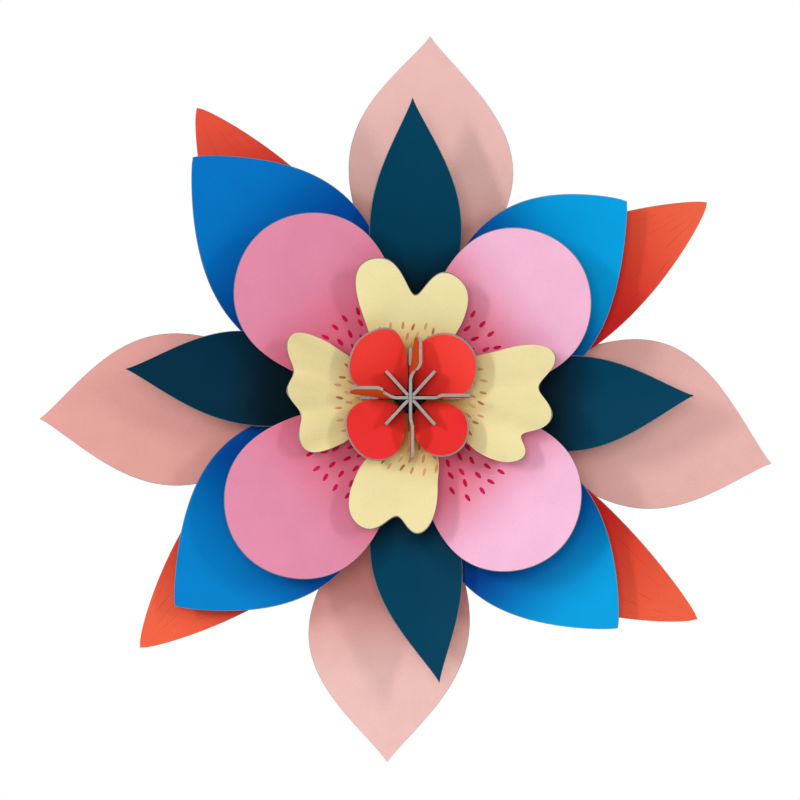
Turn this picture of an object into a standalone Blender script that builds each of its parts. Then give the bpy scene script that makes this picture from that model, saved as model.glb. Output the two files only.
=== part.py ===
"""Giant wall flower: twenty-eight printed greyboard petals slotted on four crossing boards.

The wall is the plane y = 0 and the flower faces -Y, with +Z up. Below, "height" is the distance
from the wall. The four boards stand on edge to the wall and cross on the flower's axis. Each
half of a board is a ray. A petal has a slit from its foot to its root, and sits astride a ray,
while the ray has a slot from its outer edge to the same root, as in any half-lap joint of card.
"""

import math

import bmesh
import bpy
from mathutils import Vector

# Sheet and fit
BOARD = 0.0020
SLACK = 0.0003

# How far the rearmost petals reach from the axis, and how far the star stands from the wall
FLOWER_RADIUS = 0.251
STAR_HEIGHT = 0.115

# Upright boards
STAR_REACH = 0.0240
STAR_CORNER = 0.0014
CORNER_BULGE = 0.3
RAY_STEP = 0.0035
RAY_FOOT_REACH = 0.036
SLOT_BITE = 0.008

# How far from the axis a diagonal board's full width clears the two boards beside it
CORNER_CLEAR = BOARD / 2 + (BOARD / 2 + SLACK) * math.sqrt(2)

# Bent tongues at the ends of the vertical and the horizontal board. The shoulder is the straight
# edge behind a tongue. CORNER_NEAR and CORNER_FAR round the tip, as shares of its depth.
TONGUE_HEIGHT = STAR_HEIGHT + 0.003
TONGUE_START = 0.018
TONGUE_END = 0.040
TONGUE_DEPTH = 0.012
TONGUE_TIP_DEPTH = 0.006
CORNER_NEAR = 0.2
CORNER_FAR = 0.6
SHOULDER_HEIGHT = STAR_HEIGHT - 0.018
SHOULDER_REACH = 0.0335

# How far each ray's front edge is bent aside, and between which distances from the axis
LEANS = {
    "top": dict(lean=-0.0066, start=0.0120, full=0.0230),
    "left": dict(lean=-0.0066, start=0.0095, full=0.0215),
    "bottom": dict(lean=0.0013, start=0.0130, full=0.0180),
    "right": dict(lean=0.0016, start=0.0160, full=0.0210),
    "upper_right": dict(lean=0.0013, start=0.0, full=STAR_REACH),
    "upper_left": dict(lean=-0.0013, start=0.0, full=STAR_REACH),
    "lower_left": dict(lean=0.0010, start=0.0, full=STAR_REACH),
    "lower_right": dict(lean=-0.0015, start=0.0, full=STAR_REACH),
}
BEND_STEPS = 4

# Back board of two plies, of which the front one has a slot for each ray's tab
BACK_RADIUS = 0.044
BACK_DEPTH = 2 * BOARD
TAB_START = 0.016
TAB_LENGTH = 0.012

# Directions of the rays, seen from the front, in degrees from +X towards +Z
RAY_ANGLE = {
    "right": 0, "upper_right": 45, "top": 90, "upper_left": 135,
    "left": 180, "lower_left": 225, "bottom": 270, "lower_right": 315,
}
RAYS = {
    "orthogonal": ("right", "top", "left", "bottom"),
    "diagonal": ("upper_right", "upper_left", "lower_left", "lower_right"),
}

# Each ring of petals. seat is the height of the slot's inner end, root its distance from the
# axis and reach the petals' own; rise is the sheet's slope, away from the wall, in degrees; lift
# is how far the long edges curl forward. belly is where along its length a petal is widest, and
# taper how it closes: 0.5 is a round end, 1 a pointed one, and more a hollow point.
RINGS = {
    "dusty_pink_petal": dict(rays="orthogonal", seat=STAR_HEIGHT * 0.104, root=0.032,
                             reach=FLOWER_RADIUS, rise=6.5, lift=0.004, foot_half=0.006,
                             belly=0.626, taper=1.14, turn_length=0.045,
                             colour=(0.79, 0.50, 0.45)),
    "orange_leaf": dict(rays="diagonal", seat=STAR_HEIGHT * 0.209, root=0.030,
                        reach=FLOWER_RADIUS * 0.976, rise=9.0, lift=0.003, foot_half=0.006,
                        belly=0.463, taper=0.80, turn_length=0.045,
                        colour=(0.75, 0.09, 0.05)),
    "blue_petal": dict(rays="diagonal", seat=STAR_HEIGHT * 0.313, root=0.030,
                       reach=FLOWER_RADIUS * 0.829, rise=12.0, lift=0.004, foot_half=0.006,
                       belly=0.538, taper=0.88, turn_length=0.045,
                       colour=(0.0, 0.21, 0.56)),
    "teal_leaf": dict(rays="orthogonal", seat=STAR_HEIGHT * 0.417, root=0.028,
                      reach=FLOWER_RADIUS * 0.765, rise=13.0, lift=0.003, foot_half=0.006,
                      belly=0.556, taper=1.17, turn_length=0.045,
                      colour=(0.01, 0.05, 0.09)),
    "round_pink_petal": dict(rays="diagonal", seat=STAR_HEIGHT * 0.54, root=0.026,
                             reach=FLOWER_RADIUS * 0.58, rise=18.0, lift=0.004,
                             foot_half=0.005, belly=0.645, taper=0.49, turn_length=0.045,
                             colour=(0.84, 0.37, 0.53)),
    "yellow_petal": dict(rays="orthogonal", seat=STAR_HEIGHT * 0.67, root=0.023,
                         reach=FLOWER_RADIUS * 0.373, rise=26.0, lift=0.003,
                         turn_length=0.030, colour=(0.85, 0.73, 0.34)),
    "red_petal": dict(rays="diagonal", seat=STAR_HEIGHT * 0.80, root=0.017,
                      reach=FLOWER_RADIUS * 0.197, rise=34.0, lift=0.003, foot_half=0.003,
                      belly=0.588, taper=0.485, turn_length=0.020,
                      colour=(0.79, 0.05, 0.04)),
}
ROUND_END_TAPER = 0.7

# Every blade petal as it was bent by hand. foot is where it starts, longer its own length over
# the ring's reach, left and right its half widths as seen from the axis outwards, turn its turn
# in degrees and bend how far its tip sweeps aside. A petal that was cut to another curve than
# its ring has its own belly and taper.
FOOT = 0.009
BLADES = {
    "dusty_pink_petal": {
        "right": dict(foot=FOOT, longer=0.001, left=0.062, right=0.0485, turn=-10.0, bend=-0.007),
        "top": dict(foot=FOOT, longer=-0.003, left=0.0495, right=0.059, turn=-5.5, bend=0.007),
        "left": dict(foot=FOOT, longer=0.003, left=0.048, right=0.052, turn=5.5, bend=-0.007),
        "bottom": dict(foot=FOOT, longer=-0.001, left=0.045, right=0.0605, turn=-1.5, bend=-0.010),
    },
    "orange_leaf": {
        "upper_right": dict(foot=FOOT, longer=-0.004, left=0.032, right=0.044,
                            turn=-9.5, bend=-0.014),
        "upper_left": dict(foot=FOOT, longer=-0.001, left=0.043, right=0.037,
                           turn=-8.0, bend=-0.007),
        "lower_left": dict(foot=FOOT, longer=0.004, left=0.036, right=0.047,
                           turn=-1.5, bend=-0.004),
        "lower_right": dict(foot=FOOT, longer=0.0005, left=0.027, right=0.051,
                            turn=5.5, bend=0.011),
    },
    "blue_petal": {
        "upper_right": dict(foot=FOOT, longer=-0.014, left=0.0575, right=0.0505,
                            turn=-13.0, bend=0.028),
        "upper_left": dict(foot=FOOT, longer=0.009, left=0.0485, right=0.060,
                           turn=0.0, bend=-0.011),
        "lower_left": dict(foot=FOOT, longer=0.0025, left=0.0555, right=0.0555,
                           turn=-7.0, bend=0.009),
        "lower_right": dict(foot=FOOT, longer=0.0, left=0.044, right=0.0555,
                            turn=-3.0, bend=-0.0015),
    },
    "teal_leaf": {
        "right": dict(foot=FOOT, longer=-0.003, left=0.027, right=0.032, turn=-2.5, bend=0.0085),
        "top": dict(foot=FOOT, longer=0.008, left=0.0255, right=0.031, turn=-0.5, bend=0.0),
        "left": dict(foot=FOOT, longer=-0.001, left=0.0235, right=0.034, turn=-4.5, bend=-0.0065),
        "bottom": dict(foot=FOOT, longer=-0.001, left=0.0245, right=0.031, turn=3.5, bend=0.0095),
    },
    "round_pink_petal": {
        "upper_right": dict(foot=FOOT, longer=-0.002, left=0.050, right=0.0475,
                            turn=-5.5, bend=0.0005),
        "upper_left": dict(foot=FOOT, longer=0.002, left=0.051, right=0.0505,
                           turn=-3.5, bend=0.0),
        "lower_left": dict(foot=FOOT, longer=0.005, left=0.051, right=0.0505,
                           turn=-2.0, bend=0.0),
        "lower_right": dict(foot=FOOT, longer=-0.005, left=0.0485, right=0.049,
                            turn=-1.0, bend=0.0),
    },
    "red_petal": {
        "upper_right": dict(foot=0.006, longer=0.002, left=0.0214, right=0.0197,
                            turn=-12.0, bend=0.0013),
        "upper_left": dict(foot=0.006, longer=0.001, left=0.0185, right=0.0225,
                           turn=2.0, bend=-0.0035, belly=0.664, taper=0.55),
        "lower_left": dict(foot=0.0105, longer=0.0, left=0.0168, right=0.0221,
                           turn=3.5, bend=0.0007),
        "lower_right": dict(foot=0.009, longer=-0.0026, left=0.0160, right=0.0171,
                            turn=4.0, bend=-0.001),
    },
}

# The yellow petals open like fans. spread is half the opening angle, shoulder how square the
# outer corners are, skew how much longer the left side is, and each notch is its angle, its
# depth as a share of the reach and its width in degrees. flute is the height of the waves.
FAN_FOOT = 0.011
FANS = {
    "right": dict(longer=0.0019, turn=-9.0, spread=40.0, shoulder=6.0, skew=0.14, flute=0.004,
                  notches=((11.5, 0.15, 8.0), (-12.0, 0.14, 5.5))),
    "top": dict(longer=-0.0031, turn=-4.5, spread=38.0, shoulder=7.0, skew=0.10, flute=0.0,
                notches=((0.5, 0.25, 7.7),)),
    "left": dict(longer=-0.0086, turn=0.0, spread=37.7, shoulder=11.5, skew=-0.104, flute=0.004,
                 notches=((8.2, 0.116, 9.6), (-12.7, 0.10, 8.0))),
    "bottom": dict(longer=-0.0006, turn=-14.0, spread=34.0, shoulder=4.0, skew=-0.02, flute=0.0,
                   notches=((3.5, 0.15, 6.7),)),
}

# Share of its spread at which a fan's straight side lies, as its rim closes towards the spread
FAN_SIDE = 0.9

# Fineness of the bent sheets, and of the boards' drawing
DRAWING_SCALE = 1000.0
FOOT_ROWS = 2
BLADE_ROWS = {"round_pink_petal": 11, "red_petal": 9}
BLADE_ROWS_PLAIN = 9
BLADE_LINES = 3
FAN_ROWS = 4
FAN_LINES = 11
SAME_PLACE = 0.00002
SAME_PLANE = 0.000001


def smooth_step(value):
    """Rise smoothly from 0 at 0 to 1 at 1, flat at both ends."""
    value = min(max(value, 0.0), 1.0)
    return value * value * (3.0 - 2.0 * value)


def clear_scene():
    """Remove every object of the open scene."""
    for item in list(bpy.data.objects):
        bpy.data.objects.remove(item, do_unlink=True)


def new_collection(name):
    """Return a new collection, linked to the scene."""
    collection = bpy.data.collections.new(name)
    bpy.context.scene.collection.children.link(collection)
    return collection


def board_material(name, colour):
    """Return a satin printed board of one colour."""
    material = bpy.data.materials.new(name)
    material.use_nodes = True
    shader = material.node_tree.nodes["Principled BSDF"]
    shader.inputs["Base Color"].default_value = (*colour, 1.0)
    shader.inputs["Roughness"].default_value = 0.5
    shader.inputs["Metallic"].default_value = 0.0
    return material


def add_piece(name, bm, collection, material):
    """Make an object of a finished bmesh."""
    mesh = bpy.data.meshes.new(name)
    bm.to_mesh(mesh)
    bm.free()
    mesh.materials.append(material)
    piece = bpy.data.objects.new(name, mesh)
    collection.objects.link(piece)
    return piece


def add_sheet(name, bm, collection, material):
    """Make an object of a bent open surface and give it the thickness of the board."""
    bmesh.ops.recalc_face_normals(bm, faces=bm.faces)
    solid = add_piece(name, bm, collection, material).modifiers.new("board", "SOLIDIFY")
    solid.thickness = BOARD
    solid.offset = 0.0


def ray_point(angle, along, aside, height):
    """Return the world point at a distance along a ray, aside of it to the left, and a height."""
    turn = math.radians(angle)
    x = along * math.cos(turn) - aside * math.sin(turn)
    z = along * math.sin(turn) + aside * math.cos(turn)
    return Vector((x, -height, z))


def petal_point(ring, angle, shape, along, aside, edge_share, wave):
    """Bend a point of a flat petal to its place.

    The sheet leaves its root in the plane of its slot. Beyond the root it turns about it, its
    long edges lift, and waves grow towards the rim.
    """
    out = max(along - ring["root"], 0.0)
    ramp = smooth_step(out / ring["turn_length"])
    turn = math.radians(shape["turn"]) * ramp
    from_root = along - ring["root"]
    x = ring["root"] + from_root * math.cos(turn) - aside * math.sin(turn)
    y = from_root * math.sin(turn) + aside * math.cos(turn)
    height = ring["seat"] + (x - ring["root"]) * math.tan(math.radians(ring["rise"]))
    height += ring["lift"] * ramp * edge_share ** 2
    return ray_point(angle, x, y, height + wave)


def slit_aside(line, centre_line, edge, along, ring):
    """Return the sideways place of a grid line, which runs beside the slit up to the root.

    The two lines next to the middle stay half a slit from it as far as the root. Further out
    they ease over to an even share of the half width, which edge gives.
    """
    slit = BOARD / 2 + SLACK
    ease = smooth_step((along - ring["root"] - SLOT_BITE) / (2 * SLOT_BITE))
    inner = slit + ease * (centre_line * edge - slit)
    return inner + (line - centre_line) / (1 - centre_line) * (edge - inner)


def grid_lines(half_count):
    """Return the shares of the half width at which the lines on one side of the middle lie."""
    first = 0.5 / half_count
    step = (1 - first) / (half_count - 1)
    return [first + step * index for index in range(half_count)]


def row_places(foot, root, reach, rows, round_end):
    """Return the places of a petal's rows, with one at its root, closer together at a round end."""
    places = [foot + (root - foot) * row / FOOT_ROWS for row in range(FOOT_ROWS)]
    for row in range(rows + 1):
        share = row / rows
        if round_end:
            share = math.sin(share * math.pi / 2)
        places.append(root + (reach - root) * share)
    return places


def bent_grid(rows, lines, place):
    """Return a grid of rows by lines whose vertices place(row, line) sets, slit at its foot."""
    bm = bmesh.new()
    bmesh.ops.create_grid(bm, x_segments=rows - 1, y_segments=lines - 1, size=0.5)
    where = {}
    for vert in bm.verts:
        row = round((vert.co.x + 0.5) * (rows - 1))
        line = round((vert.co.y + 0.5) * (lines - 1))
        where[vert] = (row, line)
    middle = (lines - 1) / 2
    slit = []
    for face in bm.faces:
        row = min(where[vert][0] for vert in face.verts)
        line = sum(where[vert][1] for vert in face.verts) / 4
        if row < FOOT_ROWS and abs(line - middle) < 0.25:
            slit.append(face)
    for vert, (row, line) in where.items():
        vert.co = place(row, line)
    bmesh.ops.delete(bm, geom=slit, context="FACES")
    bmesh.ops.remove_doubles(bm, verts=bm.verts, dist=SAME_PLACE)
    return bm


def blade_grid(ring_name, ray):
    """Return a petal with one midline: its half width is a power of a sine along its length."""
    ring = RINGS[ring_name]
    shape = BLADES[ring_name][ray]
    foot = shape["foot"]
    reach = ring["reach"] + shape["longer"]
    taper = shape.get("taper", ring["taper"])
    sharpness = math.log(0.5) / math.log(shape.get("belly", ring["belly"]))
    rows = row_places(foot, ring["root"], reach, BLADE_ROWS.get(ring_name, BLADE_ROWS_PLAIN),
                      taper < ROUND_END_TAPER)
    shares = grid_lines(BLADE_LINES)

    def place(row, line):
        along = rows[row]
        side = 1 if line >= BLADE_LINES else -1
        share = shares[line - BLADE_LINES if side > 0 else BLADE_LINES - 1 - line]
        part = (along - foot) / (reach - foot)
        swell = max(math.sin(math.pi * min(part, 1.0) ** sharpness), 0.0) ** taper
        half = shape["left"] if side > 0 else shape["right"]
        edge = ring["foot_half"] * (1 - part) + half * swell
        edge = min(edge, along - CORNER_CLEAR)
        aside = side * slit_aside(share, shares[0], edge, along, ring)
        out = max(along - ring["root"], 0.0) / (reach - ring["root"])
        aside += shape["bend"] * out ** 2
        return petal_point(ring, RAY_ANGLE[ray], shape, along, aside, share * edge / half, 0.0)

    return bent_grid(len(rows), 2 * BLADE_LINES, place)


def fan_reach(shape, longest, angle):
    """Return how far a fan-shaped petal reaches at an angle from its midline, in degrees."""
    reach = longest * (1 - abs(angle / shape["spread"]) ** shape["shoulder"])
    reach *= 1 + shape["skew"] * angle / shape["spread"]
    for place, depth, width in shape["notches"]:
        reach *= 1 - depth * math.exp(-((angle - place) / width) ** 2)
    return reach


def flute_wave(shape, angle):
    """Return the wave of a fluted petal at an angle: a cosine with its troughs in the notches."""
    first = shape["notches"][0][0]
    last = shape["notches"][-1][0]
    if not shape["flute"]:
        return 0.0
    return -shape["flute"] * math.cos(2 * math.pi * (angle - first) / (first - last))


def fan_grid(ray):
    """Return a petal that opens like a fan from its foot, with notches in its outer edge."""
    ring = RINGS["yellow_petal"]
    shape = FANS[ray]
    longest = ring["reach"] + shape["longer"]
    shares = grid_lines(FAN_LINES)
    side_angle = math.radians(FAN_SIDE * shape["spread"])
    rows = FOOT_ROWS + FAN_ROWS + 1

    def place(row, line):
        side = 1 if line >= FAN_LINES else -1
        share = shares[line - FAN_LINES if side > 0 else FAN_LINES - 1 - line]
        angle = side * share * FAN_SIDE * shape["spread"]
        if row < FOOT_ROWS:
            radius = FAN_FOOT + (ring["root"] - FAN_FOOT) * row / FOOT_ROWS
        else:
            step = (row - FOOT_ROWS) / FAN_ROWS
            radius = ring["root"] + (fan_reach(shape, longest, angle) - ring["root"]) * step
        ease = smooth_step((radius - ring["root"] - SLOT_BITE) / (2 * SLOT_BITE))
        even = slit_aside(share, shares[0], radius * math.sin(side_angle), 0.0, ring)
        aside = side * (even + ease * (radius * math.sin(share * side_angle) - even))
        along = radius * (1 + ease * (math.cos(share * side_angle) - 1))
        out = max(along - ring["root"], 0.0) / (longest - ring["root"])
        wave = flute_wave(shape, angle) * out ** 2
        return petal_point(ring, RAY_ANGLE[ray], shape, along, aside, share, wave)

    return bent_grid(rows, 2 * FAN_LINES, place)


def slot_points(ring, edge_reach):
    """Return the corners of a ray's slot for a petal, from its front side round to its back."""
    rise = math.radians(ring["rise"])
    along = Vector((math.cos(rise), math.sin(rise)))
    across = Vector((-math.sin(rise), math.cos(rise)))
    inner = Vector((ring["root"], ring["seat"])) - along * SLACK
    half = BOARD / 2 + SLACK
    points = []
    for side in (1, -1):
        corner = inner + across * half * side
        mouth = corner + along * (edge_reach - corner.x) / along.x
        points += [mouth, corner] if side > 0 else [corner, mouth]
    return [(point.x, point.y) for point in points]


def ray_edge(kind):
    """Return the outer edge of a ray as (reach, height) points, from the star to the back."""
    rings = [ring for ring in RINGS.values() if ring["rays"] == kind]
    rings.sort(key=lambda ring: -ring["seat"])
    near = TONGUE_TIP_DEPTH * CORNER_NEAR
    far = TONGUE_TIP_DEPTH * CORNER_FAR
    if kind == "diagonal":
        points = [
            (STAR_REACH - STAR_CORNER, STAR_HEIGHT),
            (STAR_REACH - STAR_CORNER * CORNER_BULGE, STAR_HEIGHT - STAR_CORNER * CORNER_BULGE),
            (STAR_REACH, STAR_HEIGHT - STAR_CORNER),
        ]
    else:
        points = [
            (TONGUE_START, STAR_HEIGHT),
            (TONGUE_START, TONGUE_HEIGHT),
            (TONGUE_END - far, TONGUE_HEIGHT),
            (TONGUE_END - near, TONGUE_HEIGHT - near),
            (TONGUE_END, TONGUE_HEIGHT - far),
            (TONGUE_END - far / 2, TONGUE_HEIGHT - TONGUE_TIP_DEPTH),
            (TONGUE_START + RAY_STEP, TONGUE_HEIGHT - TONGUE_DEPTH),
            (TONGUE_START + RAY_STEP, SHOULDER_HEIGHT),
            (SHOULDER_REACH - RAY_STEP / 2, SHOULDER_HEIGHT),
            (SHOULDER_REACH, SHOULDER_HEIGHT - RAY_STEP / 2),
        ]
    for ring in rings:
        reach = ring["root"] + SLOT_BITE
        if ring is rings[0]:
            reach = STAR_REACH if kind == "diagonal" else SHOULDER_REACH
        corners = slot_points(ring, reach)
        if ring is not rings[0]:
            points.append((reach, corners[0][1] + RAY_STEP))
        points += corners
        points.append((reach, corners[-1][1] - RAY_STEP))
    floor = BACK_DEPTH + SLACK
    tab_end = BACK_DEPTH - BOARD + SLACK
    points.append((RAY_FOOT_REACH, floor))
    points += [
        (TAB_START + TAB_LENGTH, floor),
        (TAB_START + TAB_LENGTH, tab_end),
        (TAB_START, tab_end),
        (TAB_START, floor),
    ]
    return points


def board_outline(kind, solid_top, solid_bottom, front_half, back_half):
    """Return the flat outline of a board, with its slots at the axis.

    The board is whole at the axis only between solid_bottom and solid_top. Above and below it
    is slotted, by front_half and back_half on each side of the axis, for the other boards.
    """
    half = []
    if front_half:
        half += [(front_half, solid_top), (front_half, STAR_HEIGHT)]
    half += ray_edge(kind)
    if back_half:
        half += [(back_half, BACK_DEPTH + SLACK), (back_half, solid_bottom)]
    return half + [(-reach, height) for reach, height in reversed(half)]


def flat_board(outline):
    """Return a bmesh of one flat board: a 2D curve in the plane of reach and height, extruded.

    The curve is drawn DRAWING_SCALE times too large, because filling loses the finest corners
    of a small outline, and the mesh is brought back to size.
    """
    curve = bpy.data.curves.new("outline", "CURVE")
    curve.dimensions = "2D"
    curve.fill_mode = "BOTH"
    curve.extrude = BOARD / 2 * DRAWING_SCALE
    spline = curve.splines.new("POLY")
    spline.points.add(len(outline) - 1)
    for point, (reach, height) in zip(spline.points, outline):
        point.co = (reach * DRAWING_SCALE, height * DRAWING_SCALE, 0.0, 1.0)
    spline.use_cyclic_u = True
    holder = bpy.data.objects.new("outline", curve)
    bpy.context.scene.collection.objects.link(holder)
    bpy.context.view_layer.update()
    evaluated = holder.evaluated_get(bpy.context.evaluated_depsgraph_get())
    mesh = bpy.data.meshes.new_from_object(evaluated)
    bm = bmesh.new()
    bm.from_mesh(mesh)
    bmesh.ops.remove_doubles(bm, verts=bm.verts, dist=SAME_PLANE * DRAWING_SCALE)
    bmesh.ops.scale(bm, vec=(1 / DRAWING_SCALE,) * 3, verts=bm.verts)
    bpy.data.objects.remove(holder)
    bpy.data.curves.remove(curve)
    bpy.data.meshes.remove(mesh)
    return bm


def cut(bm, faces, place, normal):
    """Cut these faces of a board along a plane, and keep both sides of it."""
    geometry = set(faces)
    for face in faces:
        geometry.update(face.edges)
        geometry.update(face.verts)
    bmesh.ops.bisect_plane(bm, geom=list(geometry), dist=SAME_PLANE,
                           plane_co=place, plane_no=normal)


def cut_lines(bm, side, bend):
    """Cut the part of a flat board that bends into small faces, on one side of the axis."""
    def bending():
        return [face for face in bm.faces
                if face.calc_center_median().y > SHOULDER_HEIGHT
                and max(vert.co.x * side for vert in face.verts) > bend["start"]]

    for step in range(BEND_STEPS + 1):
        reach = bend["start"] + (bend["full"] - bend["start"]) * step / BEND_STEPS
        cut(bm, bending(), (side * reach, 0, 0), (1, 0, 0))
    for step in range(1, BEND_STEPS):
        height = SHOULDER_HEIGHT + (TONGUE_HEIGHT - SHOULDER_HEIGHT) * step / BEND_STEPS
        cut(bm, bending(), (0, height, 0), (0, 1, 0))


def ray_lean(bend, reach, height):
    """Return how far a point of a ray leans aside: more towards the front and the tip."""
    bent = max(height - SHOULDER_HEIGHT, 0.0) / (TONGUE_HEIGHT - SHOULDER_HEIGHT)
    ramp = smooth_step((reach - bend["start"]) / (bend["full"] - bend["start"]))
    return bend["lean"] * ramp * bent ** 2


def mitre_front_slot(bm, half_slot, bottom):
    """Point the ends of a board at its front slot, to fill the corners between two boards."""
    cut(bm, bm.faces, (0, 0, 0), (0, 0, 1))
    for vert in bm.verts:
        at_end = abs(abs(vert.co.x) - half_slot) < SAME_PLANE
        if at_end and abs(vert.co.z) < SAME_PLANE and vert.co.y > bottom - SAME_PLANE:
            vert.co.x -= math.copysign(BOARD / 2, vert.co.x)


def build_board(name, rays, kind, order, collection, material):
    """Build one upright board. order counts the boards' solid quarters from the front."""
    quarter = (STAR_HEIGHT - BACK_DEPTH - SLACK) / 4
    solid_top = STAR_HEIGHT - quarter * order
    solid_bottom = solid_top - quarter
    square = BOARD / 2 + SLACK
    front_half = (None, square, CORNER_CLEAR, CORNER_CLEAR)[order]
    back_half = (CORNER_CLEAR, CORNER_CLEAR, square, None)[order]
    gap = SLACK / 2
    bm = flat_board(board_outline(kind, solid_top - gap, solid_bottom + gap,
                                  front_half, back_half))
    if front_half == CORNER_CLEAR:
        mitre_front_slot(bm, front_half, solid_top - gap)
    cut(bm, bm.faces, (0, SHOULDER_HEIGHT, 0), (0, 1, 0))
    for side, ray in zip((1, -1), rays):
        cut_lines(bm, side, LEANS[ray])
    bmesh.ops.triangulate(bm, faces=bm.faces)
    angle = RAY_ANGLE[rays[0]]
    for vert in bm.verts:
        reach, height, side = vert.co
        ray = rays[0] if reach > 0 else rays[1]
        lean = ray_lean(LEANS[ray], abs(reach), height)
        aside = lean if reach > 0 else -lean
        vert.co = ray_point(angle, reach, aside - side, height)
    add_piece(name, bm, collection, material)


def build_back(collection, cutters, material):
    """Build the round back board, with a slot for each ray's tab."""
    bpy.ops.mesh.primitive_cylinder_add(vertices=48, radius=BACK_RADIUS, depth=BACK_DEPTH,
                                        location=(0, -BACK_DEPTH / 2, 0),
                                        rotation=(math.pi / 2, 0, 0))
    back = bpy.context.active_object
    back.name = "back_board"
    back.data.materials.append(material)
    for linked in list(back.users_collection):
        linked.objects.unlink(back)
    collection.objects.link(back)
    middle = TAB_START + TAB_LENGTH / 2
    for ray, angle in RAY_ANGLE.items():
        bpy.ops.mesh.primitive_cube_add(size=1, location=ray_point(angle, middle, 0, BACK_DEPTH),
                                        rotation=(0, -math.radians(angle), 0))
        cutter = bpy.context.active_object
        cutter.name = f"slot_{ray}"
        cutter.scale = (TAB_LENGTH + 2 * SLACK, 2 * BOARD, BOARD + 2 * SLACK)
        cutter.hide_render = True
        cutter.display_type = "WIRE"
        for linked in list(cutter.users_collection):
            linked.objects.unlink(cutter)
        cutters.objects.link(cutter)
        slot = back.modifiers.new(f"slot_{ray}", "BOOLEAN")
        slot.operation = "DIFFERENCE"
        slot.object = cutter


def main():
    clear_scene()
    flower = new_collection("giant_paper_flower")
    cutters = new_collection("cutters")
    grey = board_material("greyboard", (0.36, 0.32, 0.30))
    build_back(flower, cutters, grey)
    boards = (
        ("vertical_board", ("top", "bottom"), "orthogonal"),
        ("horizontal_board", ("right", "left"), "orthogonal"),
        ("rising_diagonal_board", ("upper_right", "lower_left"), "diagonal"),
        ("falling_diagonal_board", ("upper_left", "lower_right"), "diagonal"),
    )
    orange_brown = board_material("orange_brown_print", (0.55, 0.10, 0.02))
    for order, (name, rays, kind) in enumerate(boards):
        build_board(name, rays, kind, order, flower, orange_brown)
    for ring_name, ring in RINGS.items():
        material = board_material(ring_name, ring["colour"])
        for ray in RAYS[ring["rays"]]:
            bm = blade_grid(ring_name, ray) if ring_name in BLADES else fan_grid(ray)
            add_sheet(f"{ring_name}_{ray}", bm, flower, material)


main()
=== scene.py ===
"""Giant paper flower, dressed in the order in which it is put together.

The wall is the plane y = 0 and the flower faces -Y, with +Z up. First come the back board and
the four upright boards that stand on it, then seven rings of petals from the wall to the front,
and at the end the room with its floor, lights and camera.
"""

import math

import bpy
import numpy as np
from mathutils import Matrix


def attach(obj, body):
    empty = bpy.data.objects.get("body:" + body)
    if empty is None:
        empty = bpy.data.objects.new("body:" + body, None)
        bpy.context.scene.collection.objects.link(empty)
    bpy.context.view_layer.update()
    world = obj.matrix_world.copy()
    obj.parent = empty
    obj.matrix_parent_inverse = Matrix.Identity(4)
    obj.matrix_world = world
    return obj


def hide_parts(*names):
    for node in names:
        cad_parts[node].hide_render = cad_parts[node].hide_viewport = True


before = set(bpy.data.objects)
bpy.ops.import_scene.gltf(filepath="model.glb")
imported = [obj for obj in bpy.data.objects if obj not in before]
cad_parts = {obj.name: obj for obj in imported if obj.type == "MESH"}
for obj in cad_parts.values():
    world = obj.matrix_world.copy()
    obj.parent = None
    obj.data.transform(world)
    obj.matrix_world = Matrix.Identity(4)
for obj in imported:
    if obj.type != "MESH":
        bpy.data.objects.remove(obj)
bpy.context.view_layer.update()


# Back board
# A round board of two 2 mm plies of greyboard, with eight blind slots for the uprights' tabs. It
# is die cut and left raw: grey pulp with darker and lighter fibres, matt, and a little rough.

GREY = (163, 155, 150)
GREY_DARK = (132, 124, 118)
GREY_LIGHT = (190, 184, 178)
CLOUDS_PER_METRE = 160.0
GRAINS_PER_METRE = 1900.0
FIBRE_TURN = (0.3, 0.5, 0.9)
FIBRES_PER_METRE = (260.0, 900.0, 2400.0)
PLIES_PER_METRE = (300.0, 3200.0, 300.0)
PULP_DEPTH = 0.00005
PLY_DEPTH = 0.00010


def ink(colour):
    """Turn a colour of 0 to 255, as seen on a screen, into the linear one that a shader takes."""
    seen = np.array(colour) / 255.0
    linear = np.where(seen <= 0.04045, seen / 12.92, ((seen + 0.055) / 1.055) ** 2.4)
    return (*linear.tolist(), 1.0)


def put(tree, kind, inputs, **settings):
    """Add a shader node with these settings, and set or link each of the named inputs."""
    node = tree.nodes.new(kind)
    for name, value in settings.items():
        setattr(node, name, value)
    for name, value in inputs.items():
        if isinstance(value, bpy.types.NodeSocket):
            tree.links.new(value, node.inputs[name])
        else:
            node.inputs[name].default_value = value
    return node


def calc(tree, operation, *values):
    """Return the result of a Math node."""
    inputs = dict(enumerate(values))
    return put(tree, "ShaderNodeMath", inputs, operation=operation).outputs["Value"]


def ramp(tree, value, low, high, to_low=0.0, to_high=1.0):
    """Return a value carried smoothly from the range low..high to the range to_low..to_high."""
    inputs = {"Value": value, "From Min": low, "From Max": high,
              "To Min": to_low, "To Max": to_high}
    node = put(tree, "ShaderNodeMapRange", inputs, interpolation_type="SMOOTHSTEP")
    return node.outputs["Result"]


def mix(tree, share, first, second, blend="MIX"):
    """Return a colour between two, or the first one multiplied with the second."""
    inputs = {0: share, 6: first, 7: second}
    node = put(tree, "ShaderNodeMix", inputs, data_type="RGBA", blend_type=blend)
    return node.outputs[2]


def noise(tree, vector, scale, detail=2.0):
    """Return a noise value around 0.5, at a scale in features a metre."""
    inputs = {"Vector": vector, "Scale": scale, "Detail": detail}
    return put(tree, "ShaderNodeTexNoise", inputs).outputs["Fac"]


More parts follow.
